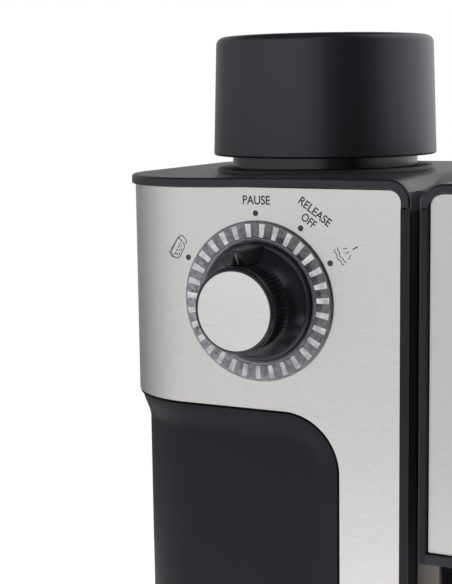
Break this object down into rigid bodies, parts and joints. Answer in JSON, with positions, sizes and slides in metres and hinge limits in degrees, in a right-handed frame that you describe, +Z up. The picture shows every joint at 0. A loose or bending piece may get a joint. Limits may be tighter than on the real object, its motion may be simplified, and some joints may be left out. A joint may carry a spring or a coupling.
{
  "type": "steam espresso machine",
  "caption": "Steam-pressure espresso maker: steel-faced tower with a large black screw cap and a front dial, brew head over a drip tray, filter holder and steam wand.",
  "frame": {"origin": "on the standing surface, below the middle of the machine's outer box", "axes": "+Z up, the dial and the brew head face -Y, +X towards the brew head's side"},
  "size_m": [0.26, 0.246, 0.342],
  "materials": {
    "black_plastic": "fine satin texture",
    "gloss_black": "polished",
    "brushed_steel": "fine horizontal brushing",
    "polished_steel": "polished",
    "clear_plastic": "clear, polished and ribbed",
    "cast_aluminium": "as cast",
    "brass": "machined",
    "copper_pipe": "drawn tube",
    "black_rubber": "matt",
    "silicone": "matt",
    "circuit_board": "solder mask",
    "ceramic": "matt"
  },
  "bodies": {
    "housing": {"base_pan": "black_plastic", "foot_front_left": "black_rubber", "foot_front_right": "black_rubber", "foot_rear_left": "black_rubber", "foot_rear_right": "black_rubber", "tower_shell": "black_plastic", "dial_panel": "brushed_steel", "head_shell": "black_plastic", "head_panel": "brushed_steel", "column_shell": "black_plastic", "groove_strip": "black_plastic", "rear_cover": "black_plastic", "cable_gland": "black_rubber", "top_cover": "black_plastic", "light_ring": "clear_plastic", "lamp_board": "circuit_board", "valve_block": "brass", "cam_switch": "gloss_black", "boiler_body": "cast_aluminium", "filler_neck": "gloss_black", "heating_element": "cast_aluminium", "boiler_bracket": "polished_steel", "thermostat": "ceramic", "thermal_fuse": "ceramic", "brew_head": "cast_aluminium", "bayonet_ring": "black_plastic", "head_gasket": "silicone", "shower_screen": "polished_steel", "screen_screw": "polished_steel", "wand_socket": "black_plastic", "feed_pipe": "copper_pipe", "brew_pipe": "copper_pipe", "steam_pipe": "copper_pipe", "terminal_block": "ceramic"},
    "dial": {"dial_knob": "gloss_black", "dial_disc": "brushed_steel", "valve_spindle": "brass"},
    "cap_core": {"relief_cartridge": "brass", "relief_spring": "polished_steel"},
    "screw_cap": {"cap_shell": "black_plastic", "cap_plug": "cast_aluminium", "cap_seal": "silicone"},
    "relief_valve": {"relief_plunger": "brass"},
    "filter_holder": {"filter_bowl": "cast_aluminium", "holder_handle": "black_plastic", "spout_block": "black_plastic", "filter_basket": "polished_steel"},
    "basket_clip": {"basket_clip": "polished_steel"},
    "steam_wand": {"wand_hub": "black_plastic", "wand_tube": "polished_steel", "wand_grip": "black_rubber", "froth_sleeve": "black_plastic"},
    "drip_tray": {"drip_tray": "black_plastic"},
    "drip_grid": {"drip_grid": "polished_steel"}
  },
  "joints": [
    {"name": "control_dial", "type": "hinge", "parent": "housing", "child": "dial", "pos_m": [-0.0627, 0.0008, 0.2444], "axis": [0, 1, 0], "range_deg": [-62, 62]},
    {"name": "cap_lift", "type": "slide", "parent": "housing", "child": "cap_core", "axis": [0, 0, 1], "range_m": [0, 0.0061]},
    {"name": "cap_turn", "type": "hinge", "parent": "cap_core", "child": "screw_cap", "pos_m": [-0.0627, 0.065, 0.3], "axis": [0, 0, 1], "range_deg": [0, 540]},
    {"name": "relief_lift", "type": "slide", "parent": "cap_core", "child": "relief_valve", "axis": [0, 0, 1], "range_m": [0, 0.0015], "stiffness_N_per_m": 400, "springref_m": -0.005, "deforming": ["relief_spring"]},
    {"name": "holder_lock", "type": "hinge", "parent": "housing", "child": "filter_holder", "pos_m": [0.0573, 0.0305, 0.15], "axis": [0, 0, 1], "range_deg": [-42, 0]},
    {"name": "clip_fold", "type": "hinge", "parent": "filter_holder", "child": "basket_clip", "pos_m": [0.0573, -0.0145, 0.151], "axis": [-1, 0, 0], "range_deg": [0, 55]},
    {"name": "wand_swing", "type": "hinge", "parent": "housing", "child": "steam_wand", "pos_m": [0.1205, 0.032, 0.215], "axis": [-1, 0, 0], "range_deg": [-15, 60]},
    {"name": "tray_slide", "type": "slide", "parent": "housing", "child": "drip_tray", "axis": [0, -1, 0], "range_m": [0, 0.12]},
    {"name": "grid_lift", "type": "slide", "parent": "drip_tray", "child": "drip_grid", "axis": [0, 0, 1], "range_m": [0, 0.03]}
  ],
  "couplings": [
    {"joint": "cap_lift", "follows": "cap_turn", "m_per_rad": 0.00063662}
  ]
}
